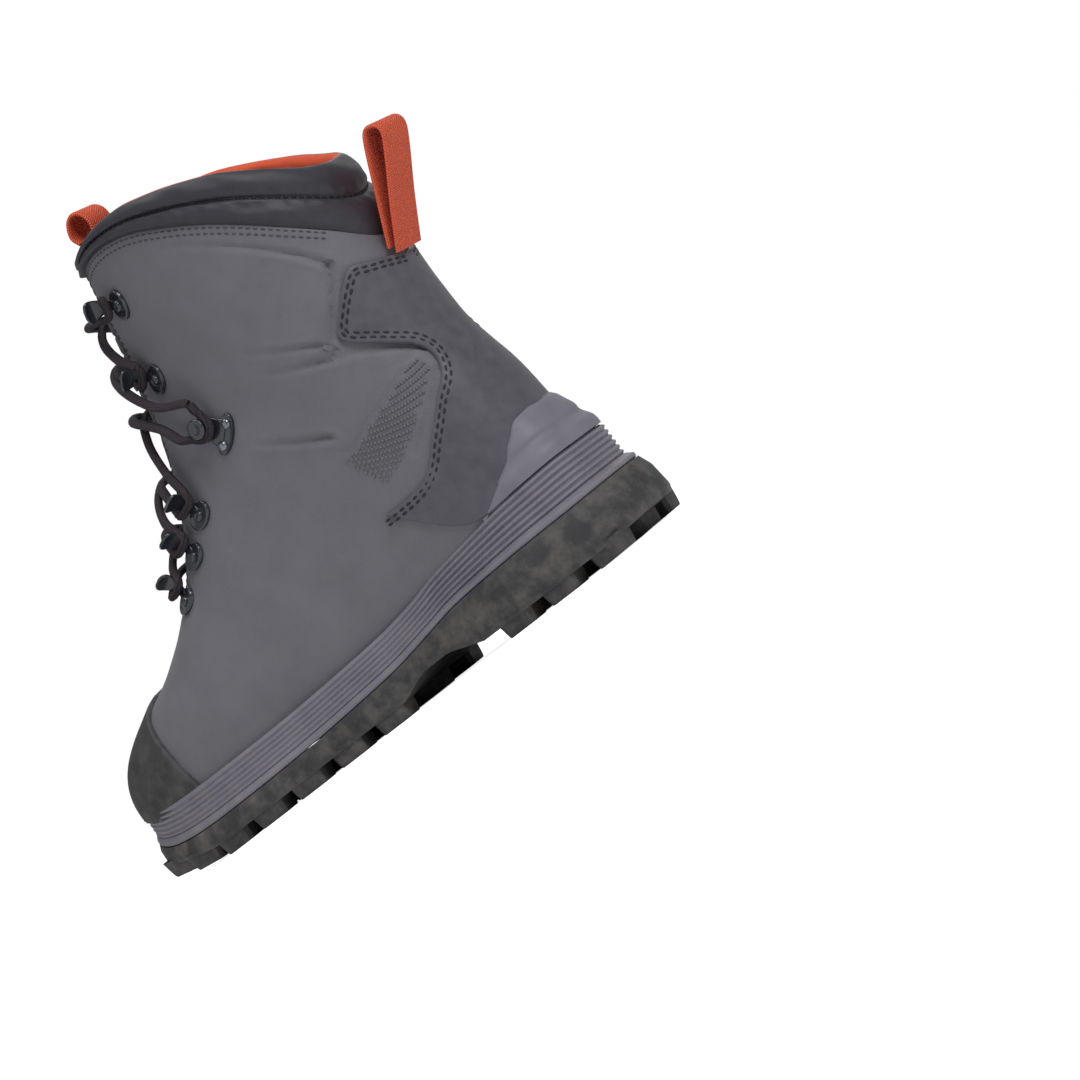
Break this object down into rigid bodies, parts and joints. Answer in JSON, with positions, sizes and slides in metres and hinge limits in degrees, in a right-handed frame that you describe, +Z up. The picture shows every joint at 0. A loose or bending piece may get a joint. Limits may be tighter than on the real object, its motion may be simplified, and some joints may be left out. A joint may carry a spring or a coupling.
{
  "type": "wading_boot",
  "caption": "Left wading boot with lugged rubber sole, padded collar, speed-lace hooks, ankle pulleys and webbing pull loops",
  "frame": {"origin": "on the floor, in the middle of the heel's flat, on the heel's middle lug", "axes": "+X to the toe, +Y to the outer side of the left foot, +Z up"},
  "size_m": [0.3254, 0.118, 0.269],
  "materials": {
    "rubber_black": "matt moulded rubber",
    "rubber_grey": "satin moulded rubber",
    "shaft_grey": "matt nubuck-like synthetic",
    "counter_charcoal": "soft satin coated synthetic",
    "collar_black": "padded satin synthetic",
    "tongue_weave": "dark woven textile",
    "webbing_orange": "woven webbing",
    "hardware_black": "gloss moulded plastic",
    "lace_brown": "braided lace",
    "insole_grey": "moulded foam with a knit cover"
  },
  "bodies": {
    "root": {"outsole": "rubber_black", "midsole": "rubber_grey", "heel_cup": "rubber_grey", "toe_cap": "rubber_black", "upper": "shaft_grey", "counter": "counter_charcoal", "collar": "collar_black", "tongue": "tongue_weave", "insole": "insole_grey", "pull_loop_back": "webbing_orange", "pull_loop_front": "webbing_orange", "hook_outer_1": "hardware_black", "hook_outer_2": "hardware_black", "hook_inner_1": "hardware_black", "hook_inner_2": "hardware_black", "ankle_pulley_outer": "hardware_black", "ankle_pulley_inner": "hardware_black", "lace_keeper_outer_1": "hardware_black", "lace_keeper_outer_2": "hardware_black", "lace_keeper_outer_3": "hardware_black", "lace_keeper_inner_1": "hardware_black", "lace_keeper_inner_2": "hardware_black", "lace_keeper_inner_3": "hardware_black", "lace_bar": "lace_brown", "lace_cross_1": "lace_brown", "lace_cross_2": "lace_brown", "lace_cross_3": "lace_brown", "lace_cross_4": "lace_brown", "lace_cross_5": "lace_brown"}
  },
  "joints": []
}
